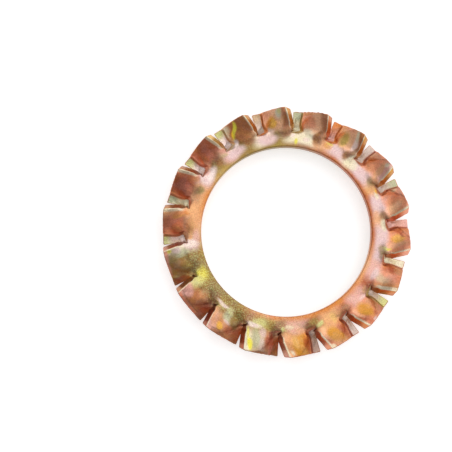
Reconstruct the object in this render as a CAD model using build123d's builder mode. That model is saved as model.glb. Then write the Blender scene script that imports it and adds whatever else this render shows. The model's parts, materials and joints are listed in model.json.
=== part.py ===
"""Externally toothed lock washer for an M16 screw, stamped from one sheet of spring steel.

The rim is slit into teeth and each tooth is twisted, so that one edge of it stands proud of the
nut side and the other edge stands proud of the joint side. The ring around the bore is level, and
it ripples only where it meets the slits. The punches that drive a tooth's edges leave a flat land
along each of them.

Frame: Z is the bore's axis, the washer lies on Z = 0 on the low edges of its teeth, and one tooth
points along +X.
"""

import os
from math import atan, cos, radians, sin, sqrt, tan

from build123d import *

# Driving dimensions, in millimetres and degrees.
bore_diameter = 17.4  # passes an M16 thread
outer_diameter = 25.3  # over the teeth, as twisted
sheet_thickness = 1.2
free_height = 3.5  # over the teeth, before the nut presses them down
tooth_count = 18
ring_width = 1.5  # from the bore to the slits' roots
level_width = 0.35  # from the bore to where the ring starts to ripple
ripple_height = 0.15  # rise and fall of the ring between two slits, at their roots
edge_slope = 24.0  # slope of the sheet along both edges of a tooth
bend_length = 0.75  # length of a tooth over which its twist builds up
bend_share = 0.85  # share of the full twist that is reached there
slit_mouth = 0.55  # gap between neighbouring teeth at the rim, seen from above
land_width = 0.6
land_slope = 12.0  # slope of a land across its tooth
land_setback = 0.45  # from the slit's root to the near end of a land
bore_chamfer = 0.2  # drawn-in edge that the piercing punch leaves on the nut side

# Sizes that follow from them.
half_pitch = radians(180 / tooth_count)
bore_radius = bore_diameter / 2
rim_radius = outer_diameter / 2
level_radius = bore_radius + level_width
root_radius = bore_radius + ring_width
half_sheet = sheet_thickness / 2
mid_height = free_height / 2
edge_angle = radians(edge_slope)
edge_lean = half_sheet * sin(edge_angle)  # how far a tooth's cut edges lean over
edge_rise = mid_height - half_sheet * cos(edge_angle)  # of the sheet's middle, at the rim
rim_reach = rim_radius * tan(half_pitch) - slit_mouth / 2  # half a tooth's width at the rim
corner_distance = sqrt(rim_radius**2 - rim_reach**2)  # of the rim's corners, along the tooth
bend_end = root_radius + bend_length
beyond_rim = rim_radius + half_sheet  # a tooth is formed to here, and then cut round


def across(distance):
    """The plane across a tooth, with its own x along the pitch and its own y upwards."""
    return Plane(origin=(distance, 0, mid_height), x_dir=(0, 1, 0), z_dir=(1, 0, 0))


def ring_faces(share):
    """Both faces of the ring across one pitch, from its level part (0) to the slits' roots (1)."""
    reach = (level_radius + share * (root_radius - level_radius)) * tan(half_pitch)
    swing = 2 * sqrt(3) * ripple_height * share**2  # such a wave peaks at 1 / (2 * sqrt(3)) of this
    return [
        [
            Vector(-reach, face),
            Vector(-reach / 3, face + swing),
            Vector(reach / 3, face - swing),
            Vector(reach, face),
        ]
        for face in (half_sheet, -half_sheet)
    ]


def tooth_faces(distance):
    """Both faces of a tooth across it, with the twist that it has at this distance.

    The sheet's middle runs from one edge to the other on a wave that is steeper between them. Its
    handles lie a third of the way in, and there they weigh three quarters at the tooth's middle.
    """
    twist = bend_share + (1 - bend_share) * (distance - bend_end) / (corner_distance - bend_end)
    slit = slit_mouth * (distance - root_radius) / (rim_radius - root_radius)
    reach = distance * tan(half_pitch) - slit / 2 - edge_lean
    rise = twist * edge_rise
    flattening = twist * (edge_rise - tan(edge_angle) * (rim_reach - edge_lean)) / 2
    middle_angle = atan((rise + flattening) / reach)
    slide = half_sheet * sin(middle_angle - edge_angle) / (3 / 4)  # keeps the middle as thick
    faces = []
    for side in (1, -1):
        shift = Vector(sin(edge_angle), cos(edge_angle)) * half_sheet * side
        pull = Vector(cos(edge_angle), -sin(edge_angle)) * slide * side
        edge = Vector(-reach, rise)
        handle = Vector(-reach / 3, (rise + 4 * flattening) / 3)
        faces.append([edge + shift, handle + shift + pull, -handle + shift + pull, -edge + shift])
    return faces


def sheet_section(distance, faces):
    """The closed section of the sheet between its two faces, each given as four Bezier points."""
    upper, lower = faces
    with BuildSketch(across(distance)) as section:
        with BuildLine():
            Bezier(*upper)
            Bezier(*lower)
            Line(upper[0], lower[0])
            Line(upper[3], lower[3])
        make_face()
    return section.sketch


# The ring's share of one pitch, from its level part to the slits' roots.
ripple_length = root_radius - level_radius
ripple_sections = [
    sheet_section(level_radius + share * ripple_length, ring_faces(share)) for share in (0, 0.5, 1)
]
with BuildPart() as ripple:
    loft(ripple_sections)

# The punch that pressed a land. Its working face holds the tooth's lowered edge, which runs
# straight from the end of the bend outwards.
lowered_near = across(bend_end).from_local_coords(tooth_faces(bend_end)[0][3])
lowered_far = across(beyond_rim).from_local_coords(tooth_faces(beyond_rim)[0][3])
edge_run = lowered_far - lowered_near
land_start = (root_radius + land_setback - bend_end) / (beyond_rim - bend_end)
land_drop = tan(radians(land_slope))
with BuildPart() as land_punch:
    with BuildSketch(Plane(lowered_near + edge_run * land_start, x_dir=(0, 1, 0), z_dir=(1, 0, 0))):
        with BuildLine():
            Polyline(
                (-land_width, land_width * land_drop),
                (-land_width, sheet_thickness),
                (half_sheet, sheet_thickness),
                (half_sheet, -half_sheet * land_drop),
                close=True,
            )
        make_face()
    extrude(amount=edge_run.length * (1 - land_start), dir=edge_run)

# One tooth. It bends out of the ring and keeps nearly the same slopes from there to the rim.
tooth_sections = [
    sheet_section(root_radius, ring_faces(1)),
    sheet_section(bend_end, tooth_faces(bend_end)),
    sheet_section(beyond_rim, tooth_faces(beyond_rim)),
]
tooth_axis = Axis((0, 0, mid_height), (1, 0, 0))
with BuildPart() as tooth:
    loft(tooth_sections, ruled=True)
    add(land_punch.part, mode=Mode.SUBTRACT)
    add(land_punch.part.rotate(tooth_axis, 180), mode=Mode.SUBTRACT)
    with BuildSketch():
        Circle(rim_radius)
    extrude(amount=free_height, mode=Mode.INTERSECT)

# The whole washer: the level ring, and around it one ripple and one tooth for each pitch.
with BuildPart() as lock_washer:
    with BuildSketch(Plane.XY.offset(mid_height - half_sheet)):
        RegularPolygon(level_radius, tooth_count, major_radius=False, rotation=180 / tooth_count)
        Circle(bore_radius, mode=Mode.SUBTRACT)
    extrude(amount=sheet_thickness)
    bore_edges = lock_washer.edges().filter_by(GeomType.CIRCLE)
    chamfer(bore_edges.sort_by(Axis.Z)[-1], length=bore_chamfer)
    with PolarLocations(0, tooth_count):
        add(ripple.part)
        add(tooth.part)

lock_washer.part.label = "lock_washer"
os.makedirs("parts", exist_ok=True)
export_step(lock_washer.part, "parts/lock_washer.step")
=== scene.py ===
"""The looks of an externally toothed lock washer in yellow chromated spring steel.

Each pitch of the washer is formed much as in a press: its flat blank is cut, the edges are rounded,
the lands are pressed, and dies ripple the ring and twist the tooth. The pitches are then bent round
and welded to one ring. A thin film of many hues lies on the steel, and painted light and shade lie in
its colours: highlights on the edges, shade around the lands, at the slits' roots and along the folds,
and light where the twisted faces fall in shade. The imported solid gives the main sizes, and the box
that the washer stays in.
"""

from __future__ import annotations

import json
import logging
import math
from collections.abc import Callable
from dataclasses import dataclass
from enum import Enum, IntEnum

import bmesh
import bpy
import numpy as np
from mathutils import Matrix, Vector, noise

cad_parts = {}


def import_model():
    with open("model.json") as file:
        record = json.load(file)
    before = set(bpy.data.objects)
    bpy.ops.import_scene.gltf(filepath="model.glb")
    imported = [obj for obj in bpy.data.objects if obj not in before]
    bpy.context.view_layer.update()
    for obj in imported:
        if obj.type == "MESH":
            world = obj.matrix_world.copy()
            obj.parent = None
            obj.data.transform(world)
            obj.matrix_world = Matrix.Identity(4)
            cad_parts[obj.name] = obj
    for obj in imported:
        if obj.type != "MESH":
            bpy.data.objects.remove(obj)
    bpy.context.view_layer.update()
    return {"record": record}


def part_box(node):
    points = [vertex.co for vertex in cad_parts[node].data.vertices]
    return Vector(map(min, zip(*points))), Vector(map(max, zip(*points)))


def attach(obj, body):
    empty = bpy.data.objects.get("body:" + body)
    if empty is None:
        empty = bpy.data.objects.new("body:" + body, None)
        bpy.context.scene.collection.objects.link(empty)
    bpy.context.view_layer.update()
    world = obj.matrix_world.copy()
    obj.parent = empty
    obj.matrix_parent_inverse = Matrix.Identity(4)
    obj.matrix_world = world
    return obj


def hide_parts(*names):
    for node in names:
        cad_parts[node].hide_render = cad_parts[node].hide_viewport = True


log = logging.getLogger("lock_washer")

METRES = 0.001  # the bench works in millimetres, and finished pieces are brought to metres
HAIR = 0.001  # millimetres that still count as the same place


class Slot(IntEnum):
    """The washer's kinds of surface, in the order of its material slots."""

    FACE = 0
    WALL = 1
    LAND = 2
    LIP = 3


class Hue(Enum):
    """The film's hues, and those of the painted light and shade laid in it, as linear red, green and
    blue.
    """

    PEARL = (0.86, 0.70, 0.66)
    CREAM = (0.80, 0.72, 0.52)
    LIME = (0.62, 0.62, 0.26)
    LEMON = (0.72, 0.66, 0.08)
    AMBER = (0.62, 0.28, 0.04)
    ORANGE = (0.66, 0.22, 0.055)
    PEACH = (0.76, 0.38, 0.19)
    SALMON = (0.58, 0.19, 0.10)
    CORAL = (0.80, 0.32, 0.18)
    APRICOT = (0.94, 0.52, 0.31)
    BLOSSOM = (0.96, 0.72, 0.64)
    ASH = (0.64, 0.51, 0.44)
    DUSK = (0.42, 0.29, 0.24)
    # painted shade: a dark brown laid beside the raised edges at the slits' roots, and in thin lines
    # near the rim
    SOOT = (0.22, 0.09, 0.04)
    CANARY = (0.93, 0.84, 0.10)
    GOLD = (0.88, 0.47, 0.07)
    BLUSH = (0.60, 0.27, 0.19)
    ROSE = (0.74, 0.40, 0.34)
    LILAC = (0.72, 0.52, 0.52)
    SAGE = (0.46, 0.48, 0.30)
    MUSTARD = (0.46, 0.31, 0.09)
    OLIVE = (0.27, 0.18, 0.05)
    HONEY = (0.80, 0.50, 0.17)
    STONE = (0.60, 0.43, 0.26)
    TAN = (0.58, 0.27, 0.12)
    CHESTNUT = (0.43, 0.165, 0.07)
    BRICK = (0.50, 0.145, 0.07)
    RUST = (0.44, 0.105, 0.035)
    UMBER = (0.33, 0.145, 0.07)
    MAROON = (0.38, 0.10, 0.055)


class Bench:
    """The workbench: short names for the modelling operators that the washer needs."""

    @staticmethod
    def take(piece: bpy.types.Object) -> None:
        """Makes one piece the only selected and active one.

        Args:
            piece: The object to work on.
        """
        bpy.ops.object.select_all(action="DESELECT")
        piece.select_set(True)
        bpy.context.view_layer.objects.active = piece

    @staticmethod
    def open(piece: bpy.types.Object) -> None:
        """Opens a piece in edit mode.

        Args:
            piece: The object to work on.
        """
        Bench.take(piece)
        bpy.ops.object.mode_set(mode="EDIT")

    @staticmethod
    def close() -> None:
        """Goes back to object mode."""
        bpy.ops.object.mode_set(mode="OBJECT")

    @staticmethod
    def pick(piece: bpy.types.Object, kind: str, wanted: Callable[..., bool]) -> int:
        """Selects the elements that pass a test, and no others.

        Args:
            piece: The object in edit mode.
            kind: VERT, EDGE or FACE.
            wanted: The test, which is given one element.

        Returns:
            How many elements are selected.
        """
        bpy.ops.mesh.select_mode(type=kind)
        bpy.ops.mesh.select_all(action="DESELECT")
        mesh = bmesh.from_edit_mesh(piece.data)
        elements = {"VERT": mesh.verts, "EDGE": mesh.edges, "FACE": mesh.faces}[kind]
        chosen = [element for element in elements if wanted(element)]
        for element in chosen:
            element.select_set(True)
        mesh.select_flush_mode()
        bmesh.update_edit_mesh(piece.data)
        return len(chosen)

    @staticmethod
    def cut(axis: str, place: float) -> None:
        """Cuts all of the open piece across an axis, and keeps both sides.

        Args:
            axis: X or Y.
            place: Where on that axis.
        """
        normal = Vector((axis == "X", axis == "Y", 0))
        bpy.ops.mesh.select_all(action="SELECT")
        bpy.ops.mesh.bisect(plane_co=normal * place, plane_no=normal, threshold=1e-5)

    @staticmethod
    def bevel(size: float, segments: int, slot: Slot) -> None:
        """Rounds the selected edges.

        Args:
            size: How far the rounding reaches.
            segments: Into how many strips it is divided.
            slot: The kind of surface it becomes.
        """
        bpy.ops.mesh.bevel(
            offset=size, segments=segments, affect="EDGES", clamp_overlap=False, material=slot
        )

    @staticmethod
    def settle(piece: bpy.types.Object) -> None:
        """Puts an object's place, turn and scale into its mesh.

        Args:
            piece: The object.
        """
        Bench.take(piece)
        bpy.ops.object.transform_apply(location=True, rotation=True, scale=True)

    @staticmethod
    def finish(piece: bpy.types.Object, kind: str, **settings: object) -> None:
        """Adds a modifier to a piece and applies it.

        Args:
            piece: The object.
            kind: The modifier's type.
            settings: The modifier's settings.
        """
        Bench.take(piece)
        modifier = piece.modifiers.new(kind.title(), kind)
        for name, value in settings.items():
            setattr(modifier, name, value)
        bpy.ops.object.modifier_apply(modifier=modifier.name)

    @staticmethod
    def copy(piece: bpy.types.Object, name: str) -> bpy.types.Object:
        """Copies a piece, with a mesh of its own.

        Args:
            piece: The object.
            name: The copy's name.

        Returns:
            The copy.
        """
        Bench.take(piece)
        bpy.ops.object.duplicate(linked=False)
        twin = bpy.context.object
        twin.name = name
        return twin


def smooth(low: float, high: float, value: float | np.ndarray) -> float | np.ndarray:
    """Rises from 0 at low to 1 at high, with rounded ends. High may be the smaller one.

    Args:
        low: Where the rise starts.
        high: Where it ends.
        value: The place or places between them.

    Returns:
        Shares from 0 to 1.
    """
    share = np.clip((value - low) / (high - low), 0.0, 1.0)
    return share * share * (3 - 2 * share)


@dataclass(frozen=True)
class Sizes:
    """The washer's sizes in millimetres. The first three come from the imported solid."""

    bore_radius: float
    rim_radius: float
    height: float
    thickness: float = 1.2
    root_radius: float = 10.2  # of the slits' roots
    tooth_count: int = 18

    @property
    def pitch(self) -> float:
        """The angle from one tooth to the next."""
        return math.tau / self.tooth_count

    @property
    def ring_width(self) -> float:
        """From the bore to the slits' roots."""
        return self.root_radius - self.bore_radius

    @property
    def tooth_length(self) -> float:
        """The length of the slits."""
        return self.rim_radius - self.root_radius

    @property
    def half(self) -> float:
        """Half the sheet's thickness."""
        return self.thickness / 2

    @property
    def reach(self) -> float:
        """Half a pitch, along the strip."""
        return self.root_radius * self.pitch / 2

    @classmethod
    def packed(cls, record: dict) -> Sizes:
        """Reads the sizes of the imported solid.

        Args:
            record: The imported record.

        Returns:
            The washer's sizes.
        """
        low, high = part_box("lock_washer")
        mounts = {mount["name"]: mount for mount in record["mounts"]}
        return cls(mounts["bore"]["dims"]["r_mm"], high.x / METRES, high.z / METRES)


@dataclass(frozen=True)
class FilmLightAndShadePatch:
    """A soft-edged patch where the film has another hue, on the flat strip beside its tooth. Some
    patches are painted shade, such as the dark ones at the slits' roots and along the folds, and some
    are painted light, such as the pale ones on twisted faces that fall in shade.
    """

    hue: Hue
    across: float  # place across the tooth, from -1 at the raised edge to 1 at the lowered one
    outward: float  # place outwards from the slit's root, in millimetres
    width: float  # half its size along the strip, in millimetres
    length: float  # half its size outwards
    strength: float = 0.9
    lean: float = 0.0  # how far its outer end leans towards the raised edge, in degrees

    def weight(self, along: np.ndarray, outward: np.ndarray) -> np.ndarray:
        """How strongly the patch covers places.

        Args:
            along: Their distances along the strip from the patch's middle.
            outward: Their distances outwards from the slit's root.

        Returns:
            Shares from 0 to 1.
        """
        turn = math.radians(self.lean)
        ahead = outward - self.outward
        aside = (along * math.cos(turn) + ahead * math.sin(turn)) / self.width
        ahead = (ahead * math.cos(turn) - along * math.sin(turn)) / self.length
        return self.strength * smooth(1.25, 0.5, np.hypot(aside, ahead))


@dataclass(frozen=True)
class Tooth:
    """How one tooth came out of the dies, and the film on it, with the painted light and shade in that
    film.
    """

    raised_hue: Hue = Hue.CHESTNUT  # the film, from the raised edge to the lowered one
    middle_hue: Hue = Hue.CORAL
    lowered_hue: Hue = Hue.ORANGE
    # the land's film; its pale hues are partly the film and partly a painted reflection of the bright
    # light above, which the nearly level land faces
    land_hue: Hue = Hue.ASH
    land_rim_hue: Hue = Hue.LIME
    step_shade_hue: Hue = Hue.BRICK  # painted shade on the slope around the land, at the land's root and along its edges
    wall_hue: Hue = Hue.AMBER
    rim_hue: Hue = Hue.RUST
    slit_hue: Hue = Hue.PEACH  # of the ring, at the slit beside the lowered edge; its pale hues are partly the film and partly painted light on the ring's ripple
    ring_hue: Hue = Hue.OLIVE  # of the ring, inwards of the tooth; its darker hues are partly the film and partly painted shade on the ring's ripple
    bore_hue: Hue = Hue.OLIVE
    # patches of the film, some of them painted shade and some painted light
    film_light_and_shade_patches: tuple[FilmLightAndShadePatch, ...] = ()
    specks: float = 0.25  # share of the full strength that the ring's specks have here
    longer: float = 0.05  # how much further it reaches
    slit: float = 0.55  # gap beside the raised edge at the rim, seen from above
    lip: float = 0.0  # width of the painted highlight, a pale line beside the raised edge
    land_width: float = 0.8
    land_slope: float = 0.45  # width of the slope from the tooth's face down to the land
    land_near: float = -0.1  # from the slit's root to the start of that slope
    land_round: float = 0.6  # of the corner where the slopes beside and before the land meet
    land_entry: float = 1.2  # how much steeper the slope before the land is
    land_tilt: float = 22.0  # how far the punch turned the face level again, in degrees
    fold: float = 0.2  # height of the diagonal fold
    fold_root: float = 0.7  # place of the fold across the tooth, at the slit's root
    fold_rim: float = -0.45  # and at the rim
    bowl: float = 0.0  # how far the face drops on the fold's inner side
    ragged: float = 0.02  # how uneven the rim is

    def recess(self, inset: np.ndarray, outward: np.ndarray) -> tuple[np.ndarray, np.ndarray]:
        """How deep the recess around the land is, as shares of the land's full depth.

        Args:
            inset: Distances from the lowered edge.
            outward: Distances outwards from the slit's root.

        Returns:
            The depth that the recess's slope allows, and the depth of the land's own plane. The
            smaller one holds.
        """
        deepest = 2.0
        beside = self.land_width + self.land_slope - inset
        beyond = (outward - self.land_near) * self.land_entry
        turn = self.land_round
        rounded = turn - np.hypot(np.maximum(turn - beside, 0), np.maximum(turn - beyond, 0))
        depth = np.where(np.minimum(beside, beyond) < turn, rounded, np.minimum(beside, beyond))
        slope = np.clip(depth / self.land_slope, 0.0, deepest) if self.land_tilt else 0 * inset
        return slope, np.clip(inset / self.land_width, 0.0, deepest)


@dataclass
class Blank:
    """One pitch of the flat strip, with one tooth, before anything is pressed into it.

    X runs along the strip, anticlockwise on the washer, Y towards the bore, and Y is zero at the
    slits' roots.
    """

    sizes: Sizes
    columns: int = 42
    tooth_rows: int = 28
    ring_rows: int = 13
    corner_round: float = 0.12  # of the tooth's corners, seen from above
    lip_round: float = 0.07  # of the tooth's upper edges, which the shear draws in
    burr_round: float = 0.05  # of all lower edges
    bore_roll: float = 0.13  # of the bore's upper edge, which the punch draws in

    def on_tooth(self, edge: bmesh.types.BMEdge) -> bool:
        """Whether an edge lies on the tooth's outline, seen from above.

        Args:
            edge: An edge of the block.

        Returns:
            True between one of the tooth's walls and one of its two faces.
        """
        middle = (edge.verts[0].co + edge.verts[1].co) / 2
        walls = [face for face in edge.link_faces if abs(face.normal.z) < 0.5]
        flats = [face for face in edge.link_faces if abs(face.normal.z) > 0.5]
        return middle.y < -HAIR and len(walls) == 1 and len(flats) == 1

    def block(self) -> bpy.types.Object:
        """Makes the plain block, open on the ring's two ends.

        Returns:
            The block, in edit mode.
        """
        s = self.sizes
        bpy.ops.object.select_all(action="DESELECT")
        bpy.ops.mesh.primitive_cube_add(size=1)
        piece = bpy.context.object
        piece.name = "blank"
        piece.scale = (2 * s.reach, s.ring_width + s.tooth_length, s.thickness)
        piece.location.y = (s.ring_width - s.tooth_length) / 2
        Bench.settle(piece)
        Bench.open(piece)
        Bench.cut("Y", 0)
        Bench.pick(piece, "FACE", lambda f: abs(f.normal.x) > 0.5 and f.calc_center_median().y > 0)
        bpy.ops.mesh.delete(type="FACE")
        return piece

    def round_edges(self, piece: bpy.types.Object) -> None:
        """Rounds the tooth's corners and edges and the bore's edges.

        Args:
            piece: The block, in edit mode.
        """
        s = self.sizes
        far = HAIR - s.tooth_length
        near = s.ring_width - HAIR

        def at_corner(edge: bmesh.types.BMEdge) -> bool:
            """Whether an edge is one of the two upright ones at the rim."""
            low, high = (vertex.co for vertex in edge.verts)
            return low.y < far and high.y < far and abs(low.z - high.z) > HAIR

        def at_bore(edge: bmesh.types.BMEdge, side: int) -> bool:
            """Whether an edge lies along the bore, above (1) or below (-1)."""
            return all(v.co.y > near and v.co.z * side > s.half - HAIR for v in edge.verts)

        Bench.pick(piece, "EDGE", at_corner)
        Bench.bevel(self.corner_round, 3, Slot.WALL)
        for side, size, segments in ((1, self.lip_round, 3), (-1, self.burr_round, 2)):
            Bench.pick(piece, "EDGE", lambda e: self.on_tooth(e) and e.verts[0].co.z * side > 0)
            Bench.bevel(size, segments, Slot.LIP)
        for side, size, segments in ((1, self.bore_roll, 4), (-1, self.burr_round, 2)):
            Bench.pick(piece, "EDGE", lambda e: at_bore(e, side))
            Bench.bevel(size, segments, Slot.FACE)

    def divide(self, piece: bpy.types.Object) -> None:
        """Cuts the block into small cells that the dies can bend.

        Args:
            piece: The rounded block, in edit mode.
        """
        s = self.sizes
        inner = s.reach - self.lip_round
        for column in range(self.columns + 1):
            Bench.cut("X", inner * (2 * column / self.columns - 1))
        far = s.tooth_length - self.lip_round
        for row in range(1, self.tooth_rows + 1):
            Bench.cut("Y", -far * row / self.tooth_rows)
        near = s.ring_width - self.bore_roll
        for row in range(1, self.ring_rows + 1):
            Bench.cut("Y", near * row / self.ring_rows)

    def make(self) -> bpy.types.Object:
        """Makes the flat pitch.

        Returns:
            The flat pitch, open where it joins its neighbours.
        """
        piece = self.block()
        for _ in Slot:
            piece.data.materials.append(None)
        Bench.pick(piece, "FACE", lambda f: abs(f.normal.z) < 0.5)
        piece.active_material_index = Slot.WALL
        bpy.ops.object.material_slot_assign()
        self.round_edges(piece)
        self.divide(piece)
        Bench.close()
        return piece


@dataclass(frozen=True)
class Punch:
    """A punch: it drives spots of the strip along one axis, as far as its relief says."""

    axis: str
    travel: float  # of the deepest spot

    def strike(self, piece: bpy.types.Object, relief: Callable[[np.ndarray], np.ndarray]) -> None:
        """Strikes a piece.

        Args:
            piece: The strip's piece, in object mode.
            relief: What gives the share of the punch's travel at each of many spots.
        """
        if not self.travel:
            return
        group = piece.vertex_groups.new(name="struck")
        for index, share in enumerate(relief(Film.spots(piece))):
            if share > 0:
                group.add([index], share, "REPLACE")
        settings = {"direction": self.axis, "strength": self.travel, "mid_level": 0.0}
        Bench.finish(piece, "DISPLACE", vertex_group=group.name, **settings)
        piece.vertex_groups.clear()


@dataclass
class Die:
    """A forming die: a lattice around the strip whose points say where each spot is pressed to."""

    sizes: Sizes
    near: float  # where the die ends towards the bore
    columns: int = 23
    rows: int = 31

    def press(
        self, piece: bpy.types.Object, shift: Callable[[Vector], Vector], held: Callable[[Vector], bool]
    ) -> None:
        """Presses a piece in the die.

        Args:
            piece: The strip's piece, in object mode.
            shift: How far the die moves a spot of the flat strip.
            held: Whether the die holds a spot.
        """
        s = self.sizes
        cell = 2 * s.reach / (self.columns - 3)  # the die stands out past the strip by one cell
        depth = (self.near + s.tooth_length) * (self.rows - 1) / (self.rows - 2)
        extent = Vector((cell * (self.columns - 1), depth, s.thickness))
        middle = Vector((0, self.near - depth / 2, 0))
        bpy.ops.object.select_all(action="DESELECT")
        bpy.ops.object.add(type="LATTICE", location=middle)
        die = bpy.context.object
        die.scale = extent
        grid = die.data
        grid.points_u, grid.points_v, grid.points_w = self.columns, self.rows, 2
        grid.interpolation_type_u = grid.interpolation_type_v = "KEY_BSPLINE"
        grid.interpolation_type_w = "KEY_LINEAR"
        for point in grid.points:
            move = shift(point.co * extent + middle)
            share = Vector((move.x / extent.x, move.y / extent.y, move.z / extent.z))
            point.co_deform = point.co + share
        group = piece.vertex_groups.new(name="held")
        group.add([v.index for v in piece.data.vertices if held(v.co)], 1.0, "REPLACE")
        Bench.finish(piece, "LATTICE", object=die, vertex_group=group.name)
        piece.vertex_groups.clear()
        bpy.data.objects.remove(die)


@dataclass
class Sector:
    """One pitch of the washer: its share of the ring and one twisted tooth."""

    sizes: Sizes
    tooth: Tooth
    edge_slope: float = math.radians(26)  # of the sheet along both edges of a tooth
    raised_bend: float = 1.9  # how far outwards of the slit's root the raised edge has risen
    lowered_bend: float = 0.4  # and how far outwards of it the lowered edge has fallen
    middle_bend: float = 0.45  # how much further those places lie in the tooth's middle
    bend_start: float = 0.45  # how far inwards of the root the middle starts to follow
    lowered_wait: float = 0.6  # share of that start which the lowered half does without
    raised_lean: float = 0.7  # how far outwards of the root the raised edge has its full slope
    lowered_lean: float = 0.35  # and how far outwards of it the lowered edge has it
    lean_start: float = -0.05  # where both begin to slope, outwards of the root
    bend_share: float = 0.86  # share of the full twist that is reached there
    ripple: float = 0.15  # rise and fall of the ring between two slits, at their roots
    ripple_inward: float = 0.95  # how far the ripple reaches over the ring
    ripple_outward: float = 1.6  # and along the teeth
    trough: float = 0.4  # where the ring lies lowest, across a tooth
    crest: float = -0.85  # and where it lies highest
    closed_length: float = 0.95  # of a slit that stays closed, seen from above
    opening: float = 0.9  # power with which it opens beyond that, and 1 would be straight
    overlap: float = 0.1  # how far a raised edge stands over the neighbour's lowered one there
    overlap_start: tuple[float, float] = (0.1, 0.4)  # where it grows, outwards of the root
    kerf: float = 0.2  # how far a lowered edge lies back from the middle of its slit
    kerf_start: float = 0.25  # how far outwards of the root it does so in full
    rim_hollow: float = 0.07  # how far the middle of a tooth's rim lies back from its corners
    fold_width: float = 1.1  # from the fold's top to its foot, on both sides
    fold_start: tuple[float, float] = (0.1, 0.9)  # where it grows, outwards of the root
    bowl_width: float = 0.9  # from the fold to the far side of the hollow beside it
    bowl_start: tuple[float, float] = (0.3, 0.9)  # where that grows
    dents: float = 0.016  # depth of the small dents all over
    dent_grain: float = 2.4  # how many there are along a millimetre
    tear_grain: tuple[float, float] = (4.5, 2.3)  # of the rim, per millimetre and per tooth
    tear_length: float = 0.5  # how far inwards of the rim its unevenness reaches
    land_margin: float = 0.02  # share of a land's depth by which its edge may be off
    twist_inward: float = 0.9  # how far inwards of the slits' roots the twisting die reaches

    def ripple_shift(self, spot: Vector) -> Vector:
        """How the ring's die moves a spot of the flat strip.

        Args:
            spot: The spot.

        Returns:
            The move, upwards or downwards.
        """
        across = spot.x / self.sizes.reach
        share = smooth(self.ripple_inward, 0.0, spot.y)
        share *= 1 - smooth(0.0, self.ripple_outward, -spot.y)
        ahead = (across - self.trough) % 2  # anticlockwise of the lowest place
        rising = (self.crest - self.trough) % 2
        turns = ahead / rising if ahead < rising else 1 + (ahead - rising) / (2 - rising)
        return Vector((0, 0, -self.ripple * share * math.cos(math.pi * turns)))

    def edge_gap(self, spot: Vector) -> float:
        """How far the tooth's edge on a spot's side lies back from the middle of its slit.

        Args:
            spot: The spot of the flat strip.

        Returns:
            The distance, less than zero where the edge stands over its neighbour.
        """
        outward = max(-spot.y, 0)
        gap = self.kerf * smooth(0, self.kerf_start, outward)
        if spot.x > 0:
            return gap
        opened = max(outward - self.closed_length, 0) / (self.sizes.tooth_length - self.closed_length)
        covered = self.overlap * smooth(*self.overlap_start, outward)
        return (self.tooth.slit + self.overlap) * opened**self.opening - gap - covered

    def twist_share(self, across: float, outward: float) -> float:
        """How much of the tooth's full twist a place has.

        Args:
            across: The place across the tooth, from -1 at the raised edge to 1 at the lowered one.
            outward: The place outwards from the slit's root.

        Returns:
            The share, before what the tooth gains towards its rim.
        """
        start = -self.bend_start * max(1 - across**4, 0)
        start *= 1 - self.lowered_wait * smooth(0.1, 0.6, across)
        mean = (self.raised_bend + self.lowered_bend) / 2
        end = mean + (self.lowered_bend - mean) * across + self.middle_bend * max(1 - across**2, 0)
        even = min(max((outward - start) / (end - start), 0.0), 1.0)
        return (smooth(start, end, outward) + even) / 2

    def twist_shift(self, spot: Vector) -> Vector:
        """How the tooth's die moves a spot of the flat strip.

        Args:
            spot: The spot.

        Returns:
            The move.
        """
        s = self.sizes
        outward = -spot.y
        distance = s.root_radius + outward
        across = spot.x / s.reach
        grown = self.bend_share + (1 - self.bend_share) * outward / s.tooth_length
        twist = self.twist_share(across, outward) * grown
        leaned = self.lowered_lean + (self.raised_lean - self.lowered_lean) * smooth(0.3, -0.6, across)
        slant = math.tan(self.edge_slope) * smooth(self.lean_start, leaned, outward) * grown
        lean = s.half * math.sin(math.atan(slant))
        reach = distance * math.tan(s.pitch / 2) - self.edge_gap(spot) - lean
        full = s.height / 2 - s.half * math.cos(self.edge_slope)
        rise = full * twist
        flattening = (rise - slant * reach) / 2
        slope = math.atan((rise + flattening * (1 - 3 * across**2)) / reach)
        along = reach * across + math.sin(slope) * spot.z
        height = -across * (rise + flattening * (1 - across**2)) + math.cos(slope) * spot.z
        further = max(outward, 0) / s.tooth_length
        back = further * (self.rim_hollow * (1 - across**2) - self.tooth.longer)
        return Vector((along * s.root_radius / distance - spot.x, back, height - spot.z))

    def recess(self, spots: np.ndarray, side: int) -> np.ndarray:
        """How deep a land's punch goes at each spot, as shares of its travel.

        Args:
            spots: The spots, one row each.
            side: 1 for the punch from above, -1 for the one from below.

        Returns:
            The shares.
        """
        struck = side * spots[:, 2] > self.sizes.half * 2 / 3
        slope, floor = self.tooth.recess(self.sizes.reach - side * spots[:, 0], -spots[:, 1])
        return np.where(struck, np.minimum(slope, floor), 0.0)

    def beside_fold(self, spots: np.ndarray) -> np.ndarray:
        """How far each spot lies from the fold, towards the lowered rim corner.

        Args:
            spots: The spots, one row each.

        Returns:
            Distances, less than zero on the raised edge's side.
        """
        s, tooth = self.sizes, self.tooth
        ahead = np.clip(-spots[:, 1] / s.tooth_length, 0, 1) ** 1.5  # the fold curves a little
        step = (tooth.fold_rim - tooth.fold_root) * s.reach
        aside = spots[:, 0] - tooth.fold_root * s.reach - step * ahead
        return aside / math.hypot(1, step / s.tooth_length)

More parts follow.
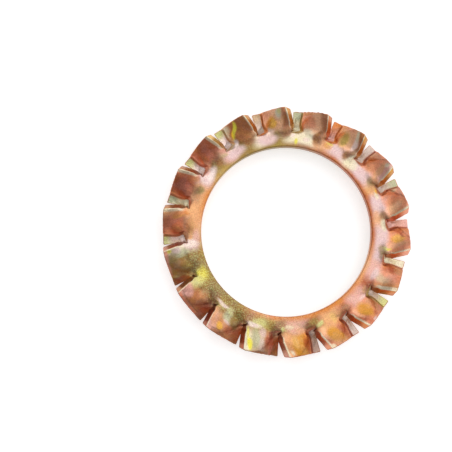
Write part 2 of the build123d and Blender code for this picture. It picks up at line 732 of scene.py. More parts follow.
    def fold(self, spots: np.ndarray) -> np.ndarray:
        """How far the fold lifts each spot, as shares of its height.

        Args:
            spots: The spots, one row each.

        Returns:
            The shares.
        """
        tent = np.clip(1 - np.abs(self.beside_fold(spots)) / self.fold_width, 0, 1)
        level_edges = smooth(1.0, 0.75, np.abs(spots[:, 0]) / self.sizes.reach)
        return tent * level_edges * smooth(*self.fold_start, -spots[:, 1])

    def bowl(self, spots: np.ndarray) -> np.ndarray:
        """How deep the hollow beside the fold is at each spot, as shares of its depth.

        Args:
            spots: The spots, one row each.

        Returns:
            The shares, which are zero on the lower face.
        """
        aside = self.beside_fold(spots)
        hollow = np.where(aside < 0, np.clip(1 + aside / self.bowl_width, 0, 1) ** 2, 0)
        return hollow * smooth(*self.bowl_start, -spots[:, 1]) * (spots[:, 2] > self.sizes.half / 2)

    def dent(self, spots: np.ndarray, index: int) -> np.ndarray:
        """How deep the small dents are at each spot of one pitch, as shares of their depth."""
        places = Film.places(self.sizes, spots, index) * self.dent_grain
        return np.array([0.5 + 0.5 * noise.noise(Vector(place)) for place in places])

    def tear(self, spots: np.ndarray, index: int) -> np.ndarray:
        """How far the rim lies back at each spot, as shares of its unevenness.

        Args:
            spots: The spots, one row each.
            index: The pitch that they belong to.

        Returns:
            The shares, which are zero away from the rim.
        """
        along, apart = self.tear_grain
        depth = [0.5 + 0.5 * noise.noise(Vector((x * along, z, index * apart))) for x, _, z in spots]
        length = self.sizes.tooth_length
        return np.array(depth) * smooth(length - self.tear_length, length, -spots[:, 1])

    def mark_lands(self, piece: bpy.types.Object) -> None:
        """Gives the faces of both lands their own slot.

        Args:
            piece: The flat pitch with its lands pressed, in object mode.
        """

        def on_land(face: bmesh.types.BMFace) -> bool:
            """Whether all corners of a face lie on the land of its own side."""
            side = 1 if face.normal.z > 0 else -1
            inset = np.array([self.sizes.reach - side * v.co.x for v in face.verts])
            slope, floor = self.tooth.recess(inset, np.array([-v.co.y for v in face.verts]))
            level = face.material_index == Slot.FACE and abs(face.normal.z) > 0.5
            return level and bool((slope >= floor - self.land_margin).all())

        Bench.open(piece)
        if Bench.pick(piece, "FACE", on_land):
            piece.active_material_index = Slot.LAND
            bpy.ops.object.material_slot_assign()
        Bench.close()

    def make(self, blank: bpy.types.Object, index: int, film: Film) -> bpy.types.Object:
        """Forms one pitch from the blank and brings it to its place on the washer.

        Args:
            blank: The flat pitch.
            index: Which tooth it is, counted anticlockwise from +X.
            film: What colours it.

        Returns:
            The formed pitch.
        """
        s, tooth = self.sizes, self.tooth
        piece = Bench.copy(blank, f"tooth_{index}")
        land_depth = tooth.land_width * math.tan(math.radians(tooth.land_tilt))
        for side in (1, -1):
            Punch("Z", -side * land_depth).strike(piece, lambda spots: self.recess(spots, side))
        self.mark_lands(piece)
        film.cover(piece, index)
        Punch("Z", -tooth.bowl).strike(piece, self.bowl)
        Punch("Z", tooth.fold).strike(piece, self.fold)
        Punch("Z", -self.dents).strike(piece, lambda spots: self.dent(spots, index))
        Punch("Y", tooth.ragged * 2).strike(piece, lambda spots: self.tear(spots, index))

        def off_seams(spot: Vector) -> bool:
            """Whether a spot is clear of the seams between the ring's pitches."""
            return abs(spot.x) < s.reach - 10 * HAIR or spot.y < -10 * HAIR

        Die(s, s.ring_width).press(piece, self.ripple_shift, lambda spot: True)
        Die(s, self.twist_inward).press(piece, self.twist_shift, off_seams)
        places = [vertex.co.x for vertex in piece.data.vertices]
        turn = (max(places) - min(places)) / s.root_radius  # by which the piece's whole length bends
        Bench.finish(piece, "SIMPLE_DEFORM", deform_method="BEND", deform_axis="Z", angle=turn)
        piece.location = (0, -s.root_radius, 0)
        Bench.settle(piece)
        piece.rotation_euler.z = math.pi / 2 + index * s.pitch
        Bench.settle(piece)
        return piece


@dataclass(frozen=True)
class Spread:
    """Places of one pitch, as the film on one of the washer's two sides sees them."""

    index: int  # the tooth whose film lies on them
    across: np.ndarray  # from -1 at the raised edge to 1 at the lowered one
    outward: np.ndarray  # outwards from the slit's root, in millimetres
    height: np.ndarray  # above the middle of the flat sheet, in millimetres
    wander: np.ndarray  # how far the edges of the film's patches wander there, one row each


@dataclass(frozen=True)
class Film:
    """The film of many hues that the bath leaves on the steel, with painted light and shade laid into
    its colours.
    """

    sizes: Sizes
    teeth: tuple[Tooth, ...]
    back_step: int = 7  # the back's film is that of the tooth so many places on
    seed: int = 3  # of the wander of its patches' edges
    wander: float = 0.2  # how far they wander, in millimetres
    wander_grain: float = 0.8  # how many times they do so along a millimetre
    slit_reach: tuple[float, float] = (0.3, 0.95)  # where a slit's hue starts and is full, across
    bore_reach: tuple[float, float] = (0.55, 0.95)  # where the bore's is, as shares of the ring
    bore_blend: float = 0.6  # share of the next pitch's hue where two pitches meet at the bore
    raised_reach: tuple[float, float] = (-0.45, -0.85)  # where a raised side's hue starts and is full
    lowered_reach: tuple[float, float] = (-0.05, 0.5)  # and where a lowered side's does
    ring_end: float = -0.1  # where the ring's hues start to give way, outwards of the slits' roots
    ring_fade: tuple[float, float] = (0.65, 0.35)  # over what length, and how much less that is across
    lip_fade: float = 0.12  # width over which the painted highlight beside a raised edge fades out
    rim_width: float = 0.1  # of the stretch that has the rim's hue

    @staticmethod
    def spots(piece: bpy.types.Object) -> np.ndarray:
        """The places of a piece's vertices.

        Args:
            piece: The object, in object mode.

        Returns:
            The places, one row each.
        """
        flat = np.empty(len(piece.data.vertices) * 3)
        piece.data.vertices.foreach_get("co", flat)
        return flat.reshape(-1, 3)

    @staticmethod
    def places(sizes: Sizes, spots: np.ndarray, index: int) -> np.ndarray:
        """Where spots of a flat pitch lie on the washer.

        Args:
            sizes: The washer's sizes.
            spots: The spots, one row each.
            index: The pitch.

        Returns:
            The places in millimetres, one row each.
        """
        angle = (index + spots[:, 0] / sizes.reach / 2) * sizes.pitch
        distance = sizes.root_radius - spots[:, 1]
        return np.stack((distance * np.cos(angle), distance * np.sin(angle), spots[:, 2]), axis=1)

    @staticmethod
    def coat(hue: Hue, count: int) -> np.ndarray:
        """One hue for as many places as asked for, one row each."""
        return np.tile(np.array(hue.value), (count, 1))

    @staticmethod
    def tint(base: np.ndarray, hue: Hue, share: np.ndarray) -> np.ndarray:
        """Brings colours nearer to a hue, each by its own share."""
        return base + (np.array(hue.value) - base) * share[:, None]

    def around(self, index: int) -> tuple[Tooth, Tooth, Tooth]:
        """The tooth before one, the tooth itself and the one after it, anticlockwise."""
        return tuple(self.teeth[(index + step) % len(self.teeth)] for step in (-1, 0, 1))

    def bore(self, index: int, across: np.ndarray) -> np.ndarray:
        """The bore's hues at places of one pitch.

        Args:
            index: The pitch.
            across: Places across it.

        Returns:
            Colours, one row each.
        """
        before, tooth, after = self.around(index)
        edge = self.coat(tooth.bore_hue, len(across))
        edge = self.tint(edge, before.bore_hue, np.clip(-across / 2, 0, self.bore_blend))
        return self.tint(edge, after.bore_hue, np.clip(across / 2, 0, self.bore_blend))

    def ring(self, index: int, across: np.ndarray, outward: np.ndarray) -> np.ndarray:
        """The ring's hues at places of one pitch.

        Args:
            index: The pitch.
            across: Places across it.
            outward: Places outwards from the slit's root, in millimetres.

        Returns:
            Colours, one row each.
        """
        before, tooth, _ = self.around(index)
        hues = self.coat(tooth.ring_hue, len(across))
        hues = self.tint(hues, before.slit_hue, smooth(*self.slit_reach, -across))
        hues = self.tint(hues, tooth.slit_hue, smooth(*self.slit_reach, across))
        start, full = (-share * self.sizes.ring_width for share in self.bore_reach)
        return hues + (self.bore(index, across) - hues) * smooth(start, full, outward)[:, None]

    def face(self, index: int, across: np.ndarray, outward: np.ndarray) -> np.ndarray:
        """The hues of a face at places of one pitch.

        Args:
            index: The tooth.
            across: Places across it, from -1 at the raised edge to 1 at the lowered one.
            outward: Places outwards from the slit's root, in millimetres.

        Returns:
            Colours, one row each.
        """
        tooth = self.around(index)[1]
        hues = self.coat(tooth.middle_hue, len(across))
        hues = self.tint(hues, tooth.raised_hue, smooth(*self.raised_reach, across))
        hues = self.tint(hues, tooth.lowered_hue, smooth(*self.lowered_reach, across))
        length, less = self.ring_fade
        share = smooth(self.ring_end, 1, (outward - self.ring_end) / (length - less * across))
        ring = self.ring(index, across, outward)
        hues = ring + (hues - ring) * share[:, None]
        for step, near in zip((-1, 0, 1), self.around(index)):
            # lays each nearby tooth's patches over the film, its painted shade and painted light among
            # them
            for tint_patch in near.film_light_and_shade_patches:
                along = (across - tint_patch.across - 2 * step) * self.sizes.reach
                hues = self.tint(hues, tint_patch.hue, tint_patch.weight(along, outward))
        return hues

    def layers(self, spread: Spread) -> dict[Slot, np.ndarray]:
        """The hues of all kinds of surface at places of one pitch.

        Args:
            spread: The places.

        Returns:
            For each slot, colours for all of the places.
        """
        s, tooth = self.sizes, self.around(spread.index)[1]
        across, outward, wander = spread.across, spread.outward, spread.wander
        count = len(across)
        on_rim = outward > s.tooth_length - self.rim_width
        slope, floor = tooth.recess(s.reach * (1 - across), outward)

        film = self.face(spread.index, across + wander[:, 0], outward + wander[:, 1])
        # painted highlight: a pale cream line on the face beside the raised edge
        if tooth.lip:
            beside = smooth(tooth.lip + self.lip_fade, tooth.lip, s.reach * (1 + across))
            film = self.tint(film, Hue.CREAM, 0.8 * beside * smooth(0.3, 0.8, outward))
        # painted shade: the slope down to the land, and the land's root, take the step's dark hue
        film = self.tint(film, tooth.step_shade_hue, 0.9 * smooth(0.0, 0.35, np.minimum(slope, 1.0)))
        if tooth.land_tilt:
            root = smooth(0.5, 0.75, across) * smooth(-0.05, 0.1, outward)
            film = self.tint(film, tooth.step_shade_hue, 0.8 * root)

        # the land's hues: partly the film, partly a painted reflection of the light above
        land = self.coat(tooth.land_hue, count)
        land = self.tint(land, tooth.land_rim_hue, smooth(0.9, 2.1, outward + 3 * wander[:, 2]))
        # painted shade on the land where it meets its slope
        land = self.tint(land, tooth.step_shade_hue, 0.9 * smooth(0.3, 0.02, slope - floor))

        # the raised edge's rounded lip gets a painted cream highlight, and the lowered edge's lip gets
        # the land's hue darkened by painted shade
        on_raised = (across < -0.9) & (outward > 0)
        on_lowered = (across > 0.9) & (outward > -0.05)
        lip = self.tint(film, Hue.CREAM, np.where(on_raised, 0.75 * smooth(0.2, 0.7, outward), 0.2))
        lip = np.where(on_lowered[:, None], self.tint(land, tooth.step_shade_hue, np.full(count, 0.8)), lip)
        lip = self.tint(lip, tooth.rim_hue, np.where(on_rim, 0.7, 0.0))

        wall = self.coat(tooth.wall_hue, count)
        streaks = smooth(0.0, 0.35, wander[:, 2] * 3 - 0.1 - spread.height / 2)
        wall = self.tint(wall, Hue.UMBER, 0.35 * streaks)
        wall = self.tint(wall, tooth.rim_hue, np.where(on_rim, 0.9, 0.0))
        wall = np.where((outward < 0)[:, None], self.bore(spread.index, across), wall)
        return {Slot.FACE: film, Slot.WALL: wall, Slot.LAND: land, Slot.LIP: lip}

    def specks(self, spread: Spread) -> np.ndarray:
        """How strong the ring's specks are at places of one pitch, from 0 to 1."""
        strengths = [tooth.specks for tooth in self.around(spread.index)]
        return np.interp(spread.across / 2, (-1, 0, 1), strengths) * smooth(1.2, -0.4, spread.outward)

    def cover(self, piece: bpy.types.Object, index: int) -> None:
        """Gives every face corner of a flat pitch the film's hue, painted light and shade included, and
        the specks' strength as alpha.

        Args:
            piece: The flat pitch with its lands pressed.
            index: Which tooth it is.
        """
        mesh, s = piece.data, self.sizes
        spots = self.spots(piece)
        corners = np.empty(len(mesh.loops), dtype=int)
        mesh.loops.foreach_get("vertex_index", corners)
        totals = np.array([face.loop_total for face in mesh.polygons])
        slots = np.repeat([face.material_index for face in mesh.polygons], totals)
        below = np.repeat([face.center.z < -s.half / 2 for face in mesh.polygons], totals)
        noise.seed_set(self.seed)
        grains = self.places(s, spots, index) * self.wander_grain
        wander = np.array([noise.noise_vector(Vector(place)) for place in grains]) * self.wander
        hues = np.empty((len(corners), 4))
        for turned in (False, True):
            step, side = (self.back_step, -1) if turned else (0, 1)
            across = side * spots[:, 0] / s.reach
            spread = Spread(index + step, across, -spots[:, 1], spots[:, 2], wander)
            for slot, layer in self.layers(spread).items():
                chosen = (slots == slot) & (below == turned)
                hues[chosen, :3] = layer[corners[chosen]]
            chosen = below == turned
            hues[chosen, 3] = self.specks(spread)[corners[chosen]]
        # the film attribute holds the film's hues together with the painted light and shade in them
        film = mesh.attributes.new("film", "FLOAT_COLOR", "CORNER")
        film.data.foreach_set("color", hues.ravel())


@dataclass
class Washer:
    """The whole washer."""

    sizes: Sizes
    teeth: tuple[Tooth, ...]
    film: Film
    seam: float = 2 * HAIR  # gap between two pitches that the weld closes
    crease: float = math.radians(35)  # edges sharper than this stay sharp in the shading

    def make(self) -> bpy.types.Object:
        """Makes the washer from its pitches.

        Returns:
            The washer, in metres.
        """
        s = self.sizes
        blank = Blank(s).make()
        sectors = []
        for index, tooth in enumerate(self.teeth):
            sectors.append(Sector(s, tooth).make(blank, index, self.film))
        bpy.data.objects.remove(blank)
        bpy.ops.object.select_all(action="DESELECT")
        for sector in sectors:
            sector.select_set(True)
        bpy.context.view_layer.objects.active = sectors[0]
        bpy.ops.object.join()
        washer = bpy.context.object
        washer.name = "toothed_washer"
        Bench.open(washer)
        bpy.ops.mesh.select_all(action="SELECT")
        bpy.ops.mesh.remove_doubles(threshold=self.seam)
        Bench.close()
        washer.location.z = s.height / 2
        Bench.settle(washer)
        washer.scale = (METRES,) * 3
        Bench.settle(washer)
        Bench.take(washer)
        bpy.ops.object.shade_smooth_by_angle(angle=self.crease)
        return washer


# The teeth, anticlockwise from +X. Each says where it differs from the usual tooth. The numbers of a
# patch are its place across and outwards, its half width and half length, its strength and its lean,
# and later patches lie over earlier ones. Many patches are film, but some are painted shade: the dark
# umber, olive and brown patches at the raised edges' roots, and the thin leaning dark patches along the
# folds. The pale apricot, peach, blossom and cream patches on the raised halves of the first six teeth
# are painted light where the twisted face falls in shade. The dark middle hues of the seventh to the
# twelfth teeth are partly the film and partly painted shade.
TEETH = (
    Tooth(
        raised_hue=Hue.CORAL, land_hue=Hue.ROSE, land_rim_hue=Hue.ROSE, wall_hue=Hue.CORAL,
        rim_hue=Hue.ROSE, ring_hue=Hue.LILAC, bore_hue=Hue.RUST,
        film_light_and_shade_patches=(
            FilmLightAndShadePatch(Hue.OLIVE, -0.8, -0.2, 0.4, 0.5, 0.65),
            FilmLightAndShadePatch(Hue.LIME, -0.75, 0.1, 0.16, 0.3, 0.7),
            FilmLightAndShadePatch(Hue.LEMON, -0.75, 0.4, 0.12, 0.25, 0.8),
            FilmLightAndShadePatch(Hue.SALMON, -0.5, 1.05, 0.5, 0.9, 0.8),
            FilmLightAndShadePatch(Hue.APRICOT, -0.55, 1.05, 0.4, 0.9, 0.7),
            FilmLightAndShadePatch(Hue.GOLD, -0.2, 1.25, 0.5, 0.8, 0.8),
            FilmLightAndShadePatch(Hue.RUST, 0.32, 0.65, 0.08, 0.45, 0.8, 25),
            FilmLightAndShadePatch(Hue.MAROON, 0.0, 1.7, 0.12, 0.3, 0.8, 45),
            FilmLightAndShadePatch(Hue.PEACH, -0.62, 1.8, 0.25, 0.6, 0.7),
            FilmLightAndShadePatch(Hue.CREAM, 0.65, -0.25, 0.7, 0.3, 0.9),
            FilmLightAndShadePatch(Hue.UMBER, -0.95, 0.2, 0.2, 0.4, 0.7),
        ),
        longer=0.0, slit=0.63, lip=0.07, fold_root=0.85, fold_rim=-0.3, bowl=0.09,
    ),
    Tooth(
        raised_hue=Hue.CORAL, lowered_hue=Hue.CORAL, land_rim_hue=Hue.SAGE, wall_hue=Hue.CORAL,
        rim_hue=Hue.ROSE, ring_hue=Hue.LILAC, bore_hue=Hue.RUST,
        film_light_and_shade_patches=(
            FilmLightAndShadePatch(Hue.PEACH, -0.6, -0.9, 0.5, 0.3, 0.6),
            FilmLightAndShadePatch(Hue.UMBER, -0.8, -0.15, 0.4, 0.45, 0.75),
            FilmLightAndShadePatch(Hue.CREAM, 0.55, -0.35, 0.5, 0.25, 0.8),
            FilmLightAndShadePatch(Hue.GOLD, 0.8, -0.15, 0.35, 0.2, 0.9),
            FilmLightAndShadePatch(Hue.SOOT, -0.95, 0.2, 0.2, 0.35, 0.6),
            FilmLightAndShadePatch(Hue.ROSE, -0.1, 0.4, 0.6, 0.4, 0.5),
            FilmLightAndShadePatch(Hue.APRICOT, -0.55, 1.1, 0.5, 1.0, 0.9),
            FilmLightAndShadePatch(Hue.CORAL, -0.25, 1.1, 0.45, 0.8, 0.7),
            FilmLightAndShadePatch(Hue.SALMON, -0.3, 1.3, 0.4, 0.6, 0.6),
            FilmLightAndShadePatch(Hue.STONE, 0.38, 1.6, 0.4, 0.4, 0.9, -45),
            FilmLightAndShadePatch(Hue.BLUSH, 0.2, 2.2, 0.9, 0.25, 0.8),
            FilmLightAndShadePatch(Hue.MAROON, -0.08, 1.75, 0.14, 0.35, 0.8, 45),
        ),
        longer=0.0, lip=0.14, fold_root=0.8, fold_rim=-0.35, bowl=0.1,
    ),
    Tooth(
        raised_hue=Hue.ROSE, lowered_hue=Hue.SALMON, land_rim_hue=Hue.ASH, rim_hue=Hue.ROSE,
        slit_hue=Hue.CREAM, ring_hue=Hue.LILAC, bore_hue=Hue.RUST,
        film_light_and_shade_patches=(
            FilmLightAndShadePatch(Hue.CREAM, 0.8, -0.7, 0.5, 0.4, 0.5),
            FilmLightAndShadePatch(Hue.OLIVE, -0.6, -0.2, 0.4, 0.45, 0.6),
            FilmLightAndShadePatch(Hue.UMBER, -0.75, 0.15, 0.35, 0.4, 0.9),
            FilmLightAndShadePatch(Hue.SOOT, -0.95, 0.25, 0.2, 0.4, 0.6),
            FilmLightAndShadePatch(Hue.ORANGE, 0.6, 0.1, 0.7, 0.18, 0.9),
            FilmLightAndShadePatch(Hue.PEACH, -0.62, 1.1, 0.36, 1.1, 0.9),
            FilmLightAndShadePatch(Hue.CORAL, -0.05, 0.95, 0.5, 0.8, 0.95),
            FilmLightAndShadePatch(Hue.BLUSH, 0.25, 2.0, 0.8, 0.4, 0.9),
            FilmLightAndShadePatch(Hue.STONE, 0.5, 1.8, 0.3, 0.5, 0.8, 20),
            FilmLightAndShadePatch(Hue.ROSE, 0.5, 0.9, 0.2, 0.5, 0.7),
            FilmLightAndShadePatch(Hue.RUST, 0.2, 1.3, 0.12, 0.5, 0.8, 45),
            FilmLightAndShadePatch(Hue.CREAM, -0.75, 2.1, 0.2, 0.3, 0.8),
        ),
        longer=-0.01, lip=0.1, fold_rim=-0.5, bowl=0.1,
    ),
    Tooth(
        middle_hue=Hue.APRICOT, land_hue=Hue.ROSE, land_rim_hue=Hue.ORANGE, step_shade_hue=Hue.ORANGE,
        rim_hue=Hue.SALMON, ring_hue=Hue.LILAC, bore_hue=Hue.RUST,
        film_light_and_shade_patches=(
            FilmLightAndShadePatch(Hue.AMBER, 0.7, -0.45, 0.6, 0.4, 0.6),
            FilmLightAndShadePatch(Hue.LEMON, 0.6, -0.15, 0.5, 0.15, 0.6),
            FilmLightAndShadePatch(Hue.UMBER, -0.6, -0.15, 0.5, 0.6, 0.95),
            FilmLightAndShadePatch(Hue.APRICOT, -0.3, 1.2, 0.6, 1.2, 0.9),
            FilmLightAndShadePatch(Hue.CHESTNUT, -1.05, 0.7, 0.22, 1.1, 0.9),
            FilmLightAndShadePatch(Hue.BLOSSOM, -0.6, 1.1, 0.26, 0.9, 1.0),
            FilmLightAndShadePatch(Hue.CREAM, -0.62, 1.95, 0.24, 0.6, 0.95),
            FilmLightAndShadePatch(Hue.HONEY, 0.0, 1.0, 0.38, 0.9, 0.9),
            FilmLightAndShadePatch(Hue.MUSTARD, -0.02, 1.05, 0.24, 0.6, 0.8),
            FilmLightAndShadePatch(Hue.CORAL, 0.1, 2.2, 0.9, 0.25, 0.7),
            FilmLightAndShadePatch(Hue.GOLD, 0.5, 0.5, 0.2, 0.6, 0.7),
            FilmLightAndShadePatch(Hue.SOOT, -0.74, 0.2, 0.36, 0.32, 0.8),
        ),
        longer=-0.01, slit=0.47, bowl=0.04,
    ),
    Tooth(
        middle_hue=Hue.APRICOT, lowered_hue=Hue.CORAL, land_hue=Hue.CREAM, land_rim_hue=Hue.SAGE,
        step_shade_hue=Hue.MUSTARD, wall_hue=Hue.ORANGE, slit_hue=Hue.CREAM, ring_hue=Hue.CREAM,
        bore_hue=Hue.UMBER,
        film_light_and_shade_patches=(
            FilmLightAndShadePatch(Hue.LILAC, 0.0, -0.6, 0.5, 0.3, 0.5),
            FilmLightAndShadePatch(Hue.TAN, -0.65, -0.6, 0.35, 0.6, 0.7),
            FilmLightAndShadePatch(Hue.UMBER, -0.6, -0.1, 0.5, 0.7, 0.95),
            FilmLightAndShadePatch(Hue.APRICOT, -0.3, 1.4, 0.5, 1.1, 0.9),
            FilmLightAndShadePatch(Hue.SALMON, 0.0, 1.5, 0.4, 0.9, 0.6),
            FilmLightAndShadePatch(Hue.CHESTNUT, -0.98, 0.6, 0.24, 1.0, 0.9),
            FilmLightAndShadePatch(Hue.LEMON, 0.72, -0.95, 0.25, 0.33, 0.9),
            FilmLightAndShadePatch(Hue.CREAM, 0.25, 0.2, 0.7, 0.4, 0.8),
            FilmLightAndShadePatch(Hue.CORAL, -0.05, 1.4, 0.5, 0.8, 0.85),
            FilmLightAndShadePatch(Hue.ORANGE, 0.2, 2.25, 0.9, 0.2, 0.7),
            FilmLightAndShadePatch(Hue.APRICOT, -0.5, 1.4, 0.2, 1.0, 0.9),
            FilmLightAndShadePatch(Hue.SOOT, -0.7, 0.25, 0.42, 0.36, 0.7),
        ),
        longer=0.02, slit=0.39, ragged=0.07,
    ),
    Tooth(
        middle_hue=Hue.APRICOT, lowered_hue=Hue.APRICOT, land_rim_hue=Hue.STONE,
        step_shade_hue=Hue.ORANGE, rim_hue=Hue.SALMON, slit_hue=Hue.CREAM,
        film_light_and_shade_patches=(
            FilmLightAndShadePatch(Hue.LILAC, 0.5, -0.55, 1.4, 0.7, 0.95),
            FilmLightAndShadePatch(Hue.UMBER, -0.62, 0.0, 0.5, 0.7, 0.95),
            FilmLightAndShadePatch(Hue.PEARL, -1.0, -0.3, 0.25, 0.25, 0.8),
            FilmLightAndShadePatch(Hue.APRICOT, 0.1, 1.2, 0.7, 1.3, 0.8),
            FilmLightAndShadePatch(Hue.CHESTNUT, -0.75, 0.7, 0.38, 1.0, 0.95, 14),
            FilmLightAndShadePatch(Hue.CREAM, -0.5, 1.95, 0.3, 0.65, 1.0, 12),
            FilmLightAndShadePatch(Hue.LEMON, -0.55, 2.1, 0.2, 0.4, 0.5),
            FilmLightAndShadePatch(Hue.BLOSSOM, 0.15, 0.1, 0.6, 0.4, 0.8),
            FilmLightAndShadePatch(Hue.GOLD, -0.05, 1.05, 0.42, 0.7, 1.0),
            FilmLightAndShadePatch(Hue.AMBER, 0.12, 1.0, 0.2, 0.4, 0.7),
            FilmLightAndShadePatch(Hue.GOLD, 0.42, 0.5, 0.2, 0.4, 0.7),
            FilmLightAndShadePatch(Hue.SOOT, -0.75, 0.22, 0.42, 0.36, 0.7),
            FilmLightAndShadePatch(Hue.CORAL, 0.3, 2.0, 0.8, 0.45, 0.8),
        ),
        longer=0.01, slit=0.43, lip=0.06, fold_root=0.2, fold_rim=-0.65,
    ),
    Tooth(
        middle_hue=Hue.CHESTNUT, lowered_hue=Hue.CREAM, land_hue=Hue.PEARL, step_shade_hue=Hue.STONE,
        rim_hue=Hue.CORAL, slit_hue=Hue.ROSE,
        film_light_and_shade_patches=(
            FilmLightAndShadePatch(Hue.LILAC, 0.55, -0.55, 1.25, 0.65, 1.0),
            FilmLightAndShadePatch(Hue.UMBER, -0.5, 0.0, 0.7, 0.7, 0.9),
            FilmLightAndShadePatch(Hue.SOOT, -0.85, 0.3, 0.3, 0.4, 0.7),
            FilmLightAndShadePatch(Hue.CHESTNUT, -0.4, 1.0, 0.7, 1.3, 0.9),
            FilmLightAndShadePatch(Hue.OLIVE, 0.3, 1.8, 0.4, 0.6, 0.5),
            FilmLightAndShadePatch(Hue.PEARL, 0.18, 0.2, 0.28, 0.6, 1.0, 15),
            FilmLightAndShadePatch(Hue.CREAM, 0.3, 1.9, 0.45, 0.7, 0.6),
            FilmLightAndShadePatch(Hue.CANARY, -0.12, 1.5, 0.18, 1.05, 1.0, 26),
            FilmLightAndShadePatch(Hue.CREAM, 0.6, 0.3, 0.4, 0.6, 0.7),
        ),
        longer=-0.02, slit=0.45, lip=0.06, fold_root=0.18, fold_rim=-0.36,
    ),
    Tooth(
        raised_hue=Hue.BRICK, middle_hue=Hue.BRICK, lowered_hue=Hue.SALMON, land_hue=Hue.PEARL,
        step_shade_hue=Hue.SALMON, wall_hue=Hue.HONEY, rim_hue=Hue.SALMON, slit_hue=Hue.LILAC,
        bore_hue=Hue.MUSTARD,
        film_light_and_shade_patches=(
            FilmLightAndShadePatch(Hue.PEARL, 0.68, -0.5, 1.1, 0.7, 1.0),
            FilmLightAndShadePatch(Hue.STONE, -0.75, -0.25, 0.5, 0.2, 0.9),
            FilmLightAndShadePatch(Hue.UMBER, -0.35, -0.3, 0.6, 0.6, 0.8),
            FilmLightAndShadePatch(Hue.MAROON, -0.35, 1.0, 0.5, 1.2, 0.7),
            FilmLightAndShadePatch(Hue.CORAL, 0.4, 0.5, 0.5, 0.6, 0.8),
            FilmLightAndShadePatch(Hue.SALMON, 0.25, 1.7, 0.45, 0.7, 0.7),
            FilmLightAndShadePatch(Hue.CORAL, 0.5, 1.0, 0.16, 1.2, 0.9),
            FilmLightAndShadePatch(Hue.ROSE, 0.6, -0.2, 0.4, 0.25, 0.8),
        ),
        longer=0.0, slit=0.43, lip=0.2, fold_root=0.3, fold_rim=-0.2,
    ),
    Tooth(
        raised_hue=Hue.SALMON, middle_hue=Hue.MAROON, lowered_hue=Hue.BRICK, land_hue=Hue.CREAM,
        land_rim_hue=Hue.SAGE, step_shade_hue=Hue.SALMON, wall_hue=Hue.TAN, rim_hue=Hue.SALMON,
        ring_hue=Hue.PEACH, bore_hue=Hue.ORANGE,
        film_light_and_shade_patches=(
            FilmLightAndShadePatch(Hue.LILAC, -1.0, -0.5, 0.35, 0.35, 0.7),
            FilmLightAndShadePatch(Hue.CHESTNUT, -0.8, 0.3, 0.3, 0.5, 0.7),
            FilmLightAndShadePatch(Hue.TAN, -0.3, -0.2, 0.8, 0.4, 0.7),
            FilmLightAndShadePatch(Hue.OLIVE, -0.2, -0.5, 0.6, 0.45, 0.95),
            FilmLightAndShadePatch(Hue.UMBER, -0.1, -0.2, 0.4, 0.25, 0.6),
            FilmLightAndShadePatch(Hue.BRICK, -0.1, 0.5, 0.7, 0.4, 0.7),
            FilmLightAndShadePatch(Hue.CORAL, 0.5, 0.4, 0.3, 0.8, 0.9),
            FilmLightAndShadePatch(Hue.PEACH, 0.6, -0.3, 0.6, 0.4, 1.0),
            FilmLightAndShadePatch(Hue.MAROON, -0.1, 1.8, 0.6, 0.7, 0.8),
        ),
        longer=0.01, slit=0.41, lip=0.22,
    ),
    Tooth(
        raised_hue=Hue.PEACH, middle_hue=Hue.BRICK, lowered_hue=Hue.BRICK, land_hue=Hue.PEARL,
        step_shade_hue=Hue.CHESTNUT, wall_hue=Hue.TAN, rim_hue=Hue.CHESTNUT, slit_hue=Hue.LILAC,
        ring_hue=Hue.PEACH, bore_hue=Hue.PEACH,
        film_light_and_shade_patches=(
            FilmLightAndShadePatch(Hue.ROSE, 0.7, -1.0, 0.9, 0.4, 0.8),
            FilmLightAndShadePatch(Hue.TAN, -0.1, -0.4, 0.8, 0.5, 0.7),
            FilmLightAndShadePatch(Hue.BRICK, 0.1, 0.0, 0.7, 0.4, 0.5),
            FilmLightAndShadePatch(Hue.PEACH, 0.6, -0.25, 0.6, 0.4, 1.0),
            FilmLightAndShadePatch(Hue.SALMON, 0.52, 0.5, 0.2, 0.6, 0.8),
            FilmLightAndShadePatch(Hue.ORANGE, -0.66, 0.6, 0.3, 0.9, 0.8),
            FilmLightAndShadePatch(Hue.AMBER, -0.5, 0.8, 0.2, 0.8, 0.5),
            FilmLightAndShadePatch(Hue.BRICK, 0.1, 1.3, 0.5, 1.0, 0.8),
            FilmLightAndShadePatch(Hue.CORAL, 0.15, 1.8, 0.35, 0.6, 0.7, 40),
            FilmLightAndShadePatch(Hue.MAROON, 0.0, 2.4, 1.2, 0.15, 0.7),
        ),
        slit=0.39, land_width=0.84, lip=0.22,
    ),
    Tooth(
        raised_hue=Hue.CREAM, middle_hue=Hue.OLIVE, lowered_hue=Hue.OLIVE, land_hue=Hue.MUSTARD,
        land_rim_hue=Hue.UMBER, step_shade_hue=Hue.OLIVE, wall_hue=Hue.BLUSH, rim_hue=Hue.BLUSH,
        slit_hue=Hue.LEMON,
        film_light_and_shade_patches=(
            FilmLightAndShadePatch(Hue.PEARL, -0.95, -0.3, 0.45, 1.0, 1.0),
            FilmLightAndShadePatch(Hue.SAGE, -0.55, 0.6, 0.3, 0.8, 0.7),
            FilmLightAndShadePatch(Hue.LILAC, -0.75, 1.3, 0.2, 0.6, 0.7, 10),
            FilmLightAndShadePatch(Hue.LEMON, -0.8, 2.0, 0.2, 0.3, 0.9),
            FilmLightAndShadePatch(Hue.LEMON, 0.8, -0.35, 0.5, 0.2, 0.9),
            FilmLightAndShadePatch(Hue.UMBER, -0.1, 1.4, 0.5, 1.0, 0.5),
            FilmLightAndShadePatch(Hue.LEMON, 0.72, 0.45, 0.32, 0.7, 0.9),
            FilmLightAndShadePatch(Hue.GOLD, 0.9, 0.9, 0.2, 0.8, 0.6),
            FilmLightAndShadePatch(Hue.BLUSH, -0.45, 2.35, 1.3, 0.32, 1.0),
